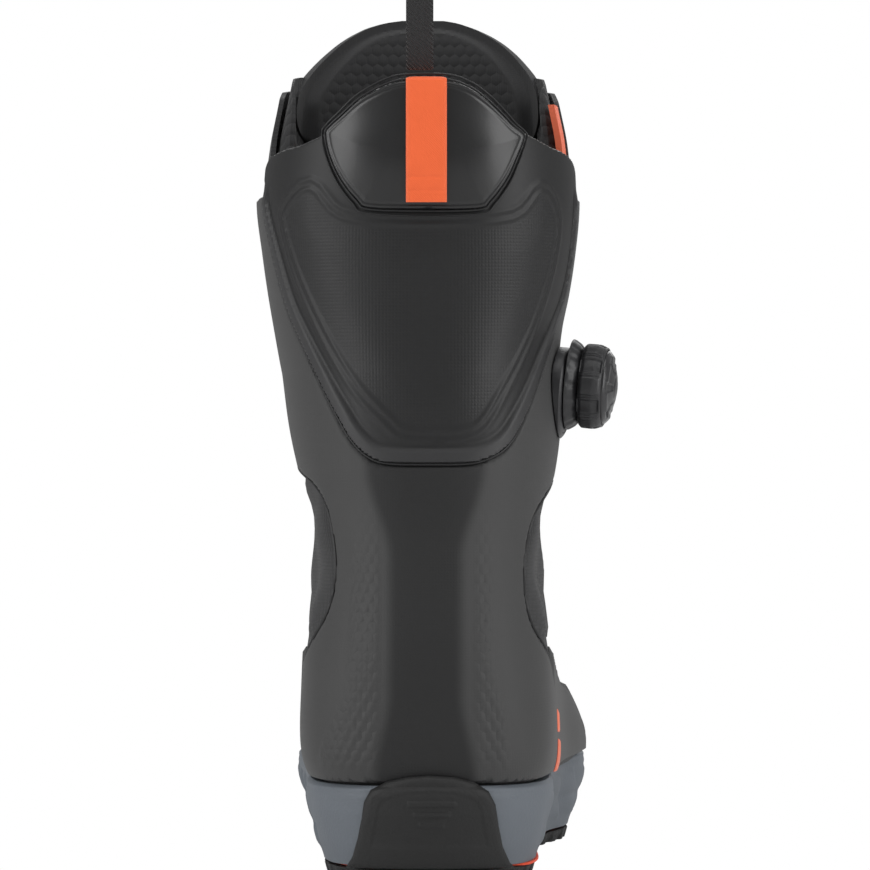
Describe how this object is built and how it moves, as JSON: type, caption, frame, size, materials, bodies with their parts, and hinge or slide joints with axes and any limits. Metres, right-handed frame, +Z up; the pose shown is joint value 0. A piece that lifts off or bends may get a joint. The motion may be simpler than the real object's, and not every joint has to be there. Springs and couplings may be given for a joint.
{
  "type": "snowboard boot",
  "caption": "Soft right-foot snowboard boot with a tall padded cuff, inner liner and tongue, side lace dial with lace over the tongue, heel pull strap and grey cupped sole.",
  "frame": {"origin": "on the sole's flat underside, below the middle of the foot's length", "axes": "+Z up, +Y towards the toe, +X towards the outer side of the right foot"},
  "size_m": [0.1395, 0.3103, 0.3577],
  "materials": {
    "shell_fabric": "matte woven synthetic upper",
    "panel_plastic": "satin moulded panel",
    "gloss_vinyl": "padded glossy collar panel",
    "lining_cloth": "brushed lining",
    "grey_foam": "moulded grey foam",
    "black_rubber": "moulded rubber",
    "orange_accent": "flat orange tape",
    "orange_rubber": "flat orange sheet",
    "black_webbing": "twill webbing",
    "reel_plastic": "moulded nylon",
    "reel_core": "bare nylon",
    "board_fibre": "pressed fibre board"
  },
  "bodies": {
    "boot": {"lower_shell": "shell_fabric", "liner": "lining_cloth", "lasting_board": "board_fibre", "footbed": "grey_foam", "toe_cap": "panel_plastic", "back_shell": "shell_fabric", "back_panel": "panel_plastic", "collar_dome": "gloss_vinyl", "midsole": "grey_foam", "outsole": "black_rubber", "accent_plate": "orange_rubber", "heel_bumper": "black_rubber", "lace_guide_outer_1": "reel_plastic", "lace_guide_outer_2": "reel_plastic", "lace_guide_outer_3": "reel_plastic", "lace_guide_outer_4": "reel_plastic", "lace_guide_inner_1": "reel_plastic", "lace_guide_inner_2": "reel_plastic", "lace_guide_inner_3": "reel_plastic", "lace_guide_inner_4": "reel_plastic", "lace": "black_webbing", "reel_base": "reel_plastic", "reel_housing": "reel_plastic", "tab_anchor": "orange_accent", "side_tag": "orange_accent", "quarter_bar_1": "orange_accent", "quarter_bar_2": "orange_accent"},
    "tongue": {"shell_tongue": "panel_plastic", "liner_tongue": "lining_cloth"},
    "dial_core": {"knob_core": "reel_core"},
    "dial_knob": {"knob_grip": "reel_plastic", "knob_cap": "reel_plastic"},
    "lace_spool": {"spool": "reel_core"},
    "tab": {"heel_tab": "orange_accent"},
    "strap": {"pull_strap": "black_webbing"}
  },
  "joints": [
    {"name": "tongue_open", "type": "hinge", "parent": "boot", "child": "tongue", "pos_m": [0, 0.085, 0.09055], "axis": [-1, 0, 0], "range_deg": [0, 16], "stiffness_Nm_per_rad": 0.6, "deforming": ["lace"]},
    {"name": "dial_pull", "type": "slide", "parent": "boot", "child": "dial_core", "axis": [0.9825, -0.1644, -0.0872], "range_m": [0, 0.003]},
    {"name": "dial_turn", "type": "hinge", "parent": "dial_core", "child": "dial_knob", "pos_m": [0.06074, -0.08075, 0.1848], "axis": [0.9825, -0.1644, -0.0872], "continuous": true},
    {"name": "spool_turn", "type": "hinge", "parent": "boot", "child": "lace_spool", "pos_m": [0.05543, -0.07987, 0.18527], "axis": [0.9825, -0.1644, -0.0872], "continuous": true},
    {"name": "heel_tab_swing", "type": "hinge", "parent": "boot", "child": "tab", "pos_m": [-0.001, -0.14139, 0.2975], "axis": [-1, 0, 0], "range_deg": [0, 110]},
    {"name": "pull_strap_fold", "type": "hinge", "parent": "boot", "child": "strap", "pos_m": [-0.0035, -0.13029, 0.303], "axis": [-1, 0, 0], "range_deg": [0, 45], "stiffness_Nm_per_rad": 0.01}
  ],
  "couplings": [
    {"joint": "spool_turn", "follows": "dial_turn", "ratio": 1}
  ]
}
